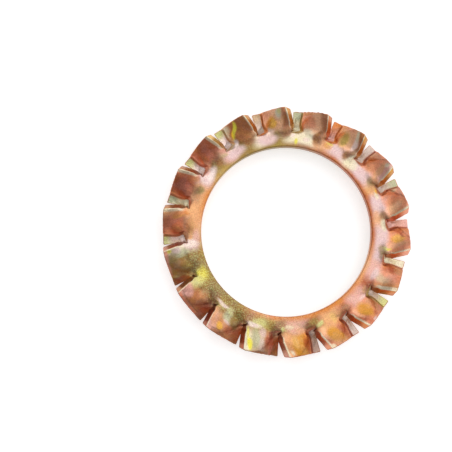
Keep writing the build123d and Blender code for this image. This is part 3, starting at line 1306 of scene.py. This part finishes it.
            FilmLightAndShadePatch(Hue.MAROON, 0.6, 2.35, 0.8, 0.4, 0.9),
        ),
        slit=0.31, land_tilt=7.0, specks=1.0,
    ),
    Tooth(
        raised_hue=Hue.BLUSH, middle_hue=Hue.CHESTNUT, lowered_hue=Hue.UMBER, land_hue=Hue.MAROON,
        land_rim_hue=Hue.MAROON, step_shade_hue=Hue.UMBER, wall_hue=Hue.TAN, rim_hue=Hue.MAROON,
        slit_hue=Hue.OLIVE,
        film_light_and_shade_patches=(
            FilmLightAndShadePatch(Hue.LIME, -0.75, 0.15, 0.7, 0.9, 0.85),
            FilmLightAndShadePatch(Hue.LEMON, -0.8, -0.3, 0.4, 0.5, 0.35),
            FilmLightAndShadePatch(Hue.UMBER, 0.5, -0.4, 0.8, 0.5, 0.7),
            FilmLightAndShadePatch(Hue.TAN, -0.05, 0.3, 0.4, 0.6, 0.7),
            FilmLightAndShadePatch(Hue.ROSE, -0.75, 1.5, 0.5, 0.8, 0.9),
            FilmLightAndShadePatch(Hue.MAROON, 0.6, 1.5, 0.5, 1.0, 0.6),
            FilmLightAndShadePatch(Hue.SALMON, -0.2, 2.4, 1.6, 0.3, 1.0),
            FilmLightAndShadePatch(Hue.SOOT, -0.1, 2.02, 1.5, 0.07, 0.7, 4),
        ),
        longer=0.06, slit=0.31, land_tilt=0.0, specks=1.0,
    ),
    Tooth(
        raised_hue=Hue.ROSE, middle_hue=Hue.TAN, lowered_hue=Hue.CHESTNUT, land_hue=Hue.CHESTNUT,
        land_rim_hue=Hue.UMBER, step_shade_hue=Hue.OLIVE, wall_hue=Hue.MAROON, rim_hue=Hue.CHESTNUT,
        slit_hue=Hue.UMBER,
        film_light_and_shade_patches=(
            FilmLightAndShadePatch(Hue.PEARL, -0.75, -0.35, 0.9, 0.18, 0.9),
            FilmLightAndShadePatch(Hue.PEACH, -0.8, 1.0, 0.3, 1.2, 0.8),
            FilmLightAndShadePatch(Hue.SAGE, -0.1, 0.3, 0.55, 0.8, 0.9),
            FilmLightAndShadePatch(Hue.LIME, -0.1, -0.2, 0.4, 0.4, 0.6),
            FilmLightAndShadePatch(Hue.LILAC, -0.1, 0.95, 0.3, 0.15, 0.6),
            FilmLightAndShadePatch(Hue.GOLD, -0.46, 1.65, 0.34, 0.42, 1.0),
            FilmLightAndShadePatch(Hue.OLIVE, 0.3, 0.5, 0.5, 0.8, 0.9),
            FilmLightAndShadePatch(Hue.BRICK, 0.0, 1.5, 0.5, 0.5, 0.6),
            FilmLightAndShadePatch(Hue.CHESTNUT, 0.0, 2.4, 1.6, 0.36, 1.0),
            FilmLightAndShadePatch(Hue.SOOT, -0.5, 2.08, 1.0, 0.06, 0.6),
        ),
        slit=0.33, land_tilt=0.0, specks=1.0,
    ),
    Tooth(
        raised_hue=Hue.CREAM, middle_hue=Hue.STONE, lowered_hue=Hue.TAN, land_hue=Hue.UMBER,
        land_rim_hue=Hue.UMBER, step_shade_hue=Hue.MAROON, wall_hue=Hue.RUST, rim_hue=Hue.UMBER,
        slit_hue=Hue.UMBER, ring_hue=Hue.MUSTARD, bore_hue=Hue.CORAL,
        film_light_and_shade_patches=(
            FilmLightAndShadePatch(Hue.LIME, -0.3, -0.5, 0.9, 0.5, 0.8),
            FilmLightAndShadePatch(Hue.UMBER, 0.7, -0.5, 0.6, 0.5, 0.8),
            FilmLightAndShadePatch(Hue.ORANGE, 0.7, -1.3, 0.6, 0.25, 0.8),
            FilmLightAndShadePatch(Hue.SAGE, -0.45, 1.0, 0.4, 1.1, 0.8),
            FilmLightAndShadePatch(Hue.PEARL, -0.65, -0.15, 0.9, 0.25, 0.9),
            FilmLightAndShadePatch(Hue.LILAC, -0.1, 0.3, 0.4, 0.45, 0.7),
            FilmLightAndShadePatch(Hue.ASH, -0.15, 1.6, 0.3, 1.0, 0.7),
            FilmLightAndShadePatch(Hue.BRICK, 0.2, 1.2, 0.45, 1.1, 1.0),
            FilmLightAndShadePatch(Hue.CHESTNUT, 0.2, 1.9, 0.7, 0.7, 0.8),
            FilmLightAndShadePatch(Hue.MAROON, 0.6, 0.15, 0.6, 0.2, 0.8),
            FilmLightAndShadePatch(Hue.LEMON, -0.85, 0.6, 0.16, 0.5, 0.7),
            FilmLightAndShadePatch(Hue.CANARY, -0.72, 1.6, 0.3, 0.65, 1.0, -12),
            FilmLightAndShadePatch(Hue.UMBER, -0.2, 2.45, 1.6, 0.3, 1.0),
        ),
        longer=0.2, slit=0.37, land_tilt=8.0, ragged=0.06, specks=0.8,
    ),
    Tooth(
        raised_hue=Hue.PEACH, middle_hue=Hue.AMBER, land_hue=Hue.DUSK, land_rim_hue=Hue.DUSK,
        step_shade_hue=Hue.MAROON, wall_hue=Hue.BLUSH, slit_hue=Hue.UMBER, ring_hue=Hue.ROSE,
        bore_hue=Hue.ORANGE,
        film_light_and_shade_patches=(
            FilmLightAndShadePatch(Hue.LIME, -0.9, -0.2, 0.35, 0.3, 0.9),
            FilmLightAndShadePatch(Hue.CREAM, -0.5, -0.45, 0.5, 0.25, 0.6),
            FilmLightAndShadePatch(Hue.UMBER, 0.8, -0.35, 0.7, 0.6, 0.8),
            FilmLightAndShadePatch(Hue.PEACH, 0.1, -0.1, 0.8, 0.3, 0.5),
            FilmLightAndShadePatch(Hue.PEACH, -0.62, 0.7, 0.35, 0.6, 0.8),
            FilmLightAndShadePatch(Hue.HONEY, -0.35, 1.1, 0.35, 0.7, 0.5),
            FilmLightAndShadePatch(Hue.RUST, 0.2, 1.5, 0.35, 0.9, 0.85),
            FilmLightAndShadePatch(Hue.AMBER, -0.15, 1.9, 0.3, 0.5, 0.7),
            FilmLightAndShadePatch(Hue.MAROON, 0.75, 0.05, 0.7, 0.25, 0.9),
            FilmLightAndShadePatch(Hue.CREAM, -0.82, 2.1, 0.2, 0.3, 0.8),
            FilmLightAndShadePatch(Hue.CHESTNUT, -0.4, 2.55, 0.8, 0.25, 0.9),
        ),
        longer=0.16, slit=0.61, land_width=0.72, specks=0.6, lip=0.1,
    ),
    Tooth(
        raised_hue=Hue.SALMON, middle_hue=Hue.PEACH, land_rim_hue=Hue.ASH, step_shade_hue=Hue.MAROON,
        wall_hue=Hue.CORAL, slit_hue=Hue.SALMON, ring_hue=Hue.PEACH, bore_hue=Hue.ORANGE,
        film_light_and_shade_patches=(
            FilmLightAndShadePatch(Hue.OLIVE, -1.0, -0.7, 0.5, 0.4, 0.6),
            FilmLightAndShadePatch(Hue.LIME, -0.75, -0.2, 0.5, 0.25, 0.95, -30),
            FilmLightAndShadePatch(Hue.HONEY, 0.1, -0.2, 0.35, 0.6, 0.7),
            FilmLightAndShadePatch(Hue.APRICOT, -0.7, 0.7, 0.4, 0.6, 0.8),
            FilmLightAndShadePatch(Hue.AMBER, -0.28, 1.35, 0.65, 0.95, 0.95),
            FilmLightAndShadePatch(Hue.BRICK, 0.15, 1.25, 0.4, 0.9, 0.85),
            FilmLightAndShadePatch(Hue.SALMON, 0.4, 2.0, 0.35, 0.6, 0.6),
            FilmLightAndShadePatch(Hue.MAROON, 0.8, 0.0, 0.6, 0.3, 0.9),
            FilmLightAndShadePatch(Hue.CREAM, -0.8, 2.15, 0.2, 0.3, 0.8),
        ),
        longer=0.11, slit=0.59, land_width=0.7, lip=0.12,
    ),
    Tooth(
        raised_hue=Hue.SALMON, lowered_hue=Hue.SALMON, step_shade_hue=Hue.MUSTARD, wall_hue=Hue.ORANGE,
        slit_hue=Hue.RUST, ring_hue=Hue.ROSE, bore_hue=Hue.ORANGE,
        film_light_and_shade_patches=(
            FilmLightAndShadePatch(Hue.UMBER, -1.0, -0.5, 0.5, 0.5, 0.7),
            FilmLightAndShadePatch(Hue.APRICOT, -0.7, 0.8, 0.3, 0.7, 0.7),
            FilmLightAndShadePatch(Hue.AMBER, -0.3, 1.05, 0.6, 1.05, 0.9),
            FilmLightAndShadePatch(Hue.PEARL, 0.2, 0.0, 0.5, 0.25, 0.4),
            FilmLightAndShadePatch(Hue.PEACH, 0.65, -0.35, 0.5, 0.35, 0.8),
            FilmLightAndShadePatch(Hue.OLIVE, 0.5, 0.3, 0.2, 0.3, 0.7),
            FilmLightAndShadePatch(Hue.TAN, 0.2, 1.2, 0.35, 0.9, 0.8),
            FilmLightAndShadePatch(Hue.BRICK, -0.1, 2.0, 0.3, 0.3, 0.6),
            FilmLightAndShadePatch(Hue.MAROON, 0.95, -0.1, 0.35, 0.4, 0.8),
            FilmLightAndShadePatch(Hue.PEARL, -0.5, 2.25, 0.4, 0.15, 0.7),
        ),
        longer=0.09, slit=0.53, land_width=0.72, lip=0.12,
    ),
    Tooth(
        raised_hue=Hue.TAN, land_hue=Hue.CREAM, land_rim_hue=Hue.CREAM, wall_hue=Hue.ORANGE,
        slit_hue=Hue.LILAC, ring_hue=Hue.ROSE, bore_hue=Hue.PEACH,
        film_light_and_shade_patches=(
            FilmLightAndShadePatch(Hue.MAROON, -0.95, -0.3, 0.3, 0.4, 0.7),
            FilmLightAndShadePatch(Hue.LILAC, -0.3, -0.2, 0.7, 0.35, 0.8),
            FilmLightAndShadePatch(Hue.SAGE, -0.35, 0.3, 0.5, 0.35, 0.4),
            FilmLightAndShadePatch(Hue.STONE, -0.5, 0.7, 0.5, 0.7, 0.8),
            FilmLightAndShadePatch(Hue.BLUSH, -0.3, 1.4, 0.5, 0.7, 0.5),
            FilmLightAndShadePatch(Hue.BRICK, 0.2, 0.9, 0.35, 0.8, 0.7),
            FilmLightAndShadePatch(Hue.TAN, 0.15, 1.9, 0.4, 0.6, 0.9),
            FilmLightAndShadePatch(Hue.RUST, 0.05, 1.2, 0.15, 0.6, 0.7, 35),
            FilmLightAndShadePatch(Hue.LEMON, 0.75, 1.8, 0.2, 0.6, 0.4),
            FilmLightAndShadePatch(Hue.OLIVE, 0.95, -0.25, 0.35, 0.3, 0.5),
        ),
        longer=0.02, land_width=0.72, lip=0.28, fold_root=0.6, fold_rim=-0.25, bowl=0.08,
    ),
)


class Sheet:
    """A node sheet: short calls to lay and join the nodes of one material or group."""

    def __init__(self, tree: bpy.types.NodeTree) -> None:
        """Opens a tree.

        Args:
            tree: The material's or group's nodes.
        """
        self.tree = tree
        self.count = 0

    def add(self, kind: str, **inputs: object) -> bpy.types.Node:
        """Lays a node.

        Args:
            kind: Its type, without the usual prefix.
            inputs: Values or sockets for its inputs, by their names in lower case with underscores
                or by in_ and their number. Names that start with set_ are the node's settings.

        Returns:
            The node.
        """
        node = self.tree.nodes.new("ShaderNode" + kind)
        node.location = (220 * self.count, 0)
        self.count += 1
        for name, value in inputs.items():
            if name.startswith("set_"):
                setattr(node, name[4:], value)
        for name, value in inputs.items():
            if not name.startswith("set_"):
                key = name.replace("_", " ").lower()
                slots = [slot for slot in node.inputs if slot.name.lower() == key and slot.enabled]
                self.join(value, slots[0] if slots else node.inputs[int(key[3:])])
        return node

    def spread(
        self, value: bpy.types.NodeSocket, given: tuple[float, float], wanted: tuple[float, float]
    ) -> bpy.types.NodeSocket:
        """Lays a node that turns one range of values into another.

        Args:
            value: The socket that gives the value.
            given: Both ends of its range.
            wanted: What they become. Values beyond them are held there.

        Returns:
            The socket that gives the new value.
        """
        ends = dict(from_min=given[0], from_max=given[1], to_min=wanted[0], to_max=wanted[1])
        return self.add("MapRange", value=value, **ends).outputs[0]

    def reckon(self, operation: str, first: object, second: object) -> bpy.types.NodeSocket:
        """Lays a node that works out a product or the like of two values or sockets."""
        return self.add("Math", set_operation=operation, in_0=first, in_1=second).outputs[0]

    def blend(self, factor: object, under: object, over: object) -> bpy.types.NodeSocket:
        """Lays a node that lays one colour over another."""
        node = self.add("Mix", set_data_type="RGBA", factor=factor, a=under, b=over)
        return node.outputs["Result"]

    def join(self, value: object, slot: bpy.types.NodeSocket) -> None:
        """Links a socket to an input, or sets the input's value.

        Args:
            value: The socket, or the plain value.
            slot: The input.
        """
        if isinstance(value, bpy.types.NodeSocket):
            self.tree.links.new(value, slot)
        else:
            slot.default_value = value


@dataclass(frozen=True)
class Grain:
    """The small-scale life of the plated surface, as a node group that every finish uses.

    The scales say how often each pattern repeats along a metre.
    """

    name: str = "plated_grain"
    cloud_scale: float = 700.0  # of the clouds of thicker and thinner film
    speckle_scale: float = 9000.0  # of the fine speckle, light and dark
    grit_scale: float = 3500.0  # of the change in roughness, and of the relief
    fleck_scale: float = 8500.0  # of the pale and dark flecks that lie on the ring
    fleck_strength: float = 0.62  # share that a fleck covers of the film
    dullness: float = 0.08  # how far the roughness changes
    clouds: tuple[tuple[float, Hue], ...] = (
        (0.30, Hue.LEMON),
        (0.42, Hue.AMBER),
        (0.50, Hue.SALMON),
        (0.58, Hue.LILAC),
        (0.70, Hue.SAGE),
    )

    def sockets(self, tree: bpy.types.NodeTree) -> None:
        """Gives the group its inputs and outputs.

        Args:
            tree: The group's nodes.
        """
        face = tree.interface
        face.new_socket("Film", in_out="INPUT", socket_type="NodeSocketColor")
        for name in ("Specks", "Shimmer", "Speckle", "Roughness", "Relief"):
            face.new_socket(name, in_out="INPUT", socket_type="NodeSocketFloat")
        face.new_socket("Color", in_out="OUTPUT", socket_type="NodeSocketColor")
        for name in ("Roughness", "Height"):
            face.new_socket(name, in_out="OUTPUT", socket_type="NodeSocketFloat")

    def shimmer(self, sheet: Sheet, thickness: bpy.types.NodeSocket) -> bpy.types.NodeSocket:
        """Lays the clouds that thicker and thinner film make.

        Args:
            sheet: The group's sheet.
            thickness: The socket that gives the film's thickness, from 0 to 1.

        Returns:
            The socket that gives their colour.
        """
        ramp = sheet.add("ValToRGB", fac=thickness)
        stops = ramp.color_ramp.elements
        while len(stops) < len(self.clouds):
            stops.new(0.5)
        for stop, (position, hue) in zip(stops, self.clouds):
            stop.position = position
            stop.color = (*hue.value, 1.0)
        return ramp.outputs["Color"]

    def build(self) -> bpy.types.NodeTree:
        """Builds the group.

        Returns:
            The group, with the film's colour, a roughness and a height as outputs.
        """
        tree = bpy.data.node_groups.new(self.name, "ShaderNodeTree")
        self.sockets(tree)
        sheet = Sheet(tree)
        given = tree.nodes.new("NodeGroupInput").outputs
        result = tree.nodes.new("NodeGroupOutput").inputs
        place = sheet.add("TexCoord").outputs["Object"]

        def pattern(scale: float, detail: float, roughness: float) -> bpy.types.NodeSocket:
            """A pattern of random patches, as a socket."""
            node = sheet.add("TexNoise", vector=place, scale=scale, detail=detail, roughness=roughness)
            return node.outputs["Fac"]

        clouds = self.shimmer(sheet, pattern(self.cloud_scale, 4.0, 0.6))
        film = sheet.blend(given["Shimmer"], given["Film"], clouds)
        speckle = sheet.spread(pattern(self.speckle_scale, 2.0, 0.7), (0.35, 0.65), (-1.0, 1.0))
        gain = sheet.reckon("ADD", sheet.reckon("MULTIPLY", speckle, given["Speckle"]), 1.0)
        film = sheet.add("VectorMath", set_operation="SCALE", in_0=film, scale=gain).outputs[0]
        fleck = pattern(self.fleck_scale, 1.0, 0.5)
        for full, hue in ((0.68, Hue.LIME), (0.32, Hue.UMBER)):
            strength = sheet.spread(fleck, (0.5, full), (0.0, self.fleck_strength))
            share = sheet.reckon("MULTIPLY", strength, given["Specks"])
            film = sheet.blend(share, film, (*hue.value, 1.0))
        grit = pattern(self.grit_scale, 3.0, 0.65)
        dull = sheet.spread(grit, (0.3, 0.7), (-self.dullness, self.dullness))
        sheet.join(film, result["Color"])
        sheet.join(sheet.reckon("ADD", dull, given["Roughness"]), result["Roughness"])
        sheet.join(sheet.reckon("MULTIPLY", grit, given["Relief"]), result["Height"])
        return tree


@dataclass(frozen=True)
class Finish:
    """One of the washer's four finishes."""

    name: str
    shimmer: float  # share that the clouds have of its colour
    speckle: float  # how far the speckle lightens and darkens it
    roughness: float
    relief: float  # height of its grit, as a share of the rolled sheet's
    grit_height: float = 0.00003  # of the rolled sheet, in metres

    def make(self, grain: bpy.types.NodeTree) -> bpy.types.Material:
        """Makes the material.

        Args:
            grain: The group that gives the surface its small-scale life.

        Returns:
            The material.
        """
        material = bpy.data.materials.new(self.name)
        material.use_nodes = True
        sheet = Sheet(material.node_tree)
        shader = material.node_tree.nodes["Principled BSDF"]
        shader.inputs["Metallic"].default_value = 1.0
        # the film attribute carries the film's hues and the painted light and shade in them
        film = sheet.add("Attribute", set_attribute_name="film")
        life = sheet.add(
            "Group",
            set_node_tree=grain,
            film=film.outputs["Color"],
            specks=film.outputs["Alpha"],
            shimmer=self.shimmer,
            speckle=self.speckle,
            roughness=self.roughness,
            relief=self.relief,
        ).outputs
        bump = sheet.add("Bump", strength=1.0, distance=self.grit_height, height=life["Height"])
        sheet.join(life["Color"], shader.inputs["Base Color"])
        sheet.join(life["Roughness"], shader.inputs["Roughness"])
        sheet.join(bump.outputs["Normal"], shader.inputs["Normal"])
        return material


FINISHES = {
    Slot.FACE: Finish("film_on_rolled_steel", 0.09, 0.16, 0.40, 1.0),
    Slot.WALL: Finish("film_on_sheared_steel", 0.15, 0.3, 0.5, 2.0),
    Slot.LAND: Finish("film_on_pressed_land", 0.06, 0.08, 0.36, 0.5),
    # the edges' finish carries a painted highlight on the raised edges and painted shade on the lowered
    # ones
    Slot.LIP: Finish("film_on_burnished_edge", 0.1, 0.1, 0.3, 0.5),
}


@dataclass(frozen=True)
class Studio:
    """A white table, one large soft lamp, plain surroundings and the camera."""

    distance: float = 110.0  # from the table to the camera, in millimetres
    aside: tuple[float, float] = (-6.0, -7.5)  # how far the camera stands off the bore's axis
    target: tuple[float, float, float] = (-6.15, 0.55, 2.0)  # the place that it looks at
    near: float = 0.01  # what is nearer to the camera isn't shown, in metres
    field_of_view: float = math.radians(24.1)
    roll: float = math.radians(3)
    table_size: float = 1.2  # in metres
    table_grey: float = 0.8
    table_lift: float = 0.5  # light of its own, as the camera sees it
    sky: float = 0.42  # strength of the surroundings
    lamp_bearing: float = math.radians(48)  # anticlockwise from +X
    lamp_rise: float = 1.9  # of the way to the lamp, for each metre outwards
    lamp_distance: float = 0.35
    lamp_size: float = 0.7
    lamp_power: float = 1.45

    def floor(self) -> None:
        """Lays the white table top that the washer lies on."""
        bpy.ops.object.select_all(action="DESELECT")
        bpy.ops.mesh.primitive_plane_add(size=self.table_size)
        table = bpy.context.object
        table.name = "table"
        paper = bpy.data.materials.new("white_paper")
        paper.use_nodes = True
        sheet = Sheet(paper.node_tree)
        shader = paper.node_tree.nodes["Principled BSDF"]
        shader.inputs["Base Color"].default_value = (*[self.table_grey] * 3, 1.0)
        shader.inputs["Roughness"].default_value = 1.0
        shader.inputs["Specular IOR Level"].default_value = 0.0
        rays = sheet.add("LightPath").outputs
        through = sheet.reckon("MAXIMUM", rays["Is Transmission Ray"], rays["Is Glossy Ray"])
        seen = sheet.reckon("MAXIMUM", rays["Is Camera Ray"], through)
        lift = sheet.reckon("MULTIPLY", seen, self.table_lift)
        shader.inputs["Emission Color"].default_value = (1, 1, 1, 1)
        sheet.join(lift, shader.inputs["Emission Strength"])
        table.data.materials.append(paper)

    def lamps(self) -> None:
        """Hangs the soft lamp and sets the surroundings."""
        world = bpy.data.worlds.new("surroundings")
        world.use_nodes = True
        background = world.node_tree.nodes["Background"]
        background.inputs["Color"].default_value = (1, 1, 1, 1)
        background.inputs["Strength"].default_value = self.sky
        bpy.context.scene.world = world
        bpy.ops.object.select_all(action="DESELECT")
        bearing = self.lamp_bearing
        towards = Vector((math.cos(bearing), math.sin(bearing), self.lamp_rise)).normalized()
        bpy.ops.object.light_add(type="AREA", location=towards * self.lamp_distance)
        lamp = bpy.context.object
        lamp.name = "soft_lamp"
        lamp.data.shape = "SQUARE"
        lamp.data.size = self.lamp_size
        lamp.data.energy = self.lamp_power
        lamp.rotation_euler = towards.to_track_quat("Z", "Y").to_euler()

    def camera(self) -> None:
        """Sets up the camera above the washer."""
        bpy.ops.object.select_all(action="DESELECT")
        bpy.ops.object.camera_add()
        camera = bpy.context.object
        camera.data.angle = self.field_of_view
        camera.data.clip_start = self.near

        def seen(right: float, up: float, height: float) -> Vector:
            """A place in metres, from one along the picture's own right and up in millimetres."""
            turn = Matrix.Rotation(self.roll, 3, "Z")
            return turn @ Vector((right, up, height)) * METRES

        place = seen(*self.aside, self.distance)
        target = seen(*self.target)
        back = (place - target).normalized()
        right = seen(0, 1000, 0).cross(back).normalized()
        up = back.cross(right)
        axes = Matrix((right, up, back)).transposed().to_4x4()
        camera.matrix_world = Matrix.Translation(place) @ axes
        bpy.context.scene.camera = camera


def main() -> None:
    """Builds the washer and its studio."""
    logging.basicConfig(level=logging.INFO, format="%(name)s: %(message)s")
    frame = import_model()
    sizes = Sizes.packed(frame["record"])
    log.info("sizes %s", sizes)
    film = Film(sizes, TEETH)
    washer = Washer(sizes, TEETH, film).make()
    log.info("washer %d faces", len(washer.data.polygons))
    grain = Grain().build()
    for slot, finish in FINISHES.items():
        washer.data.materials[slot] = finish.make(grain)
    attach(washer, "root")
    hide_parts("lock_washer")
    studio = Studio()
    studio.floor()
    studio.lamps()
    studio.camera()
    bpy.context.scene.view_settings.view_transform = "Standard"


if __name__ == "__main__":
    main()
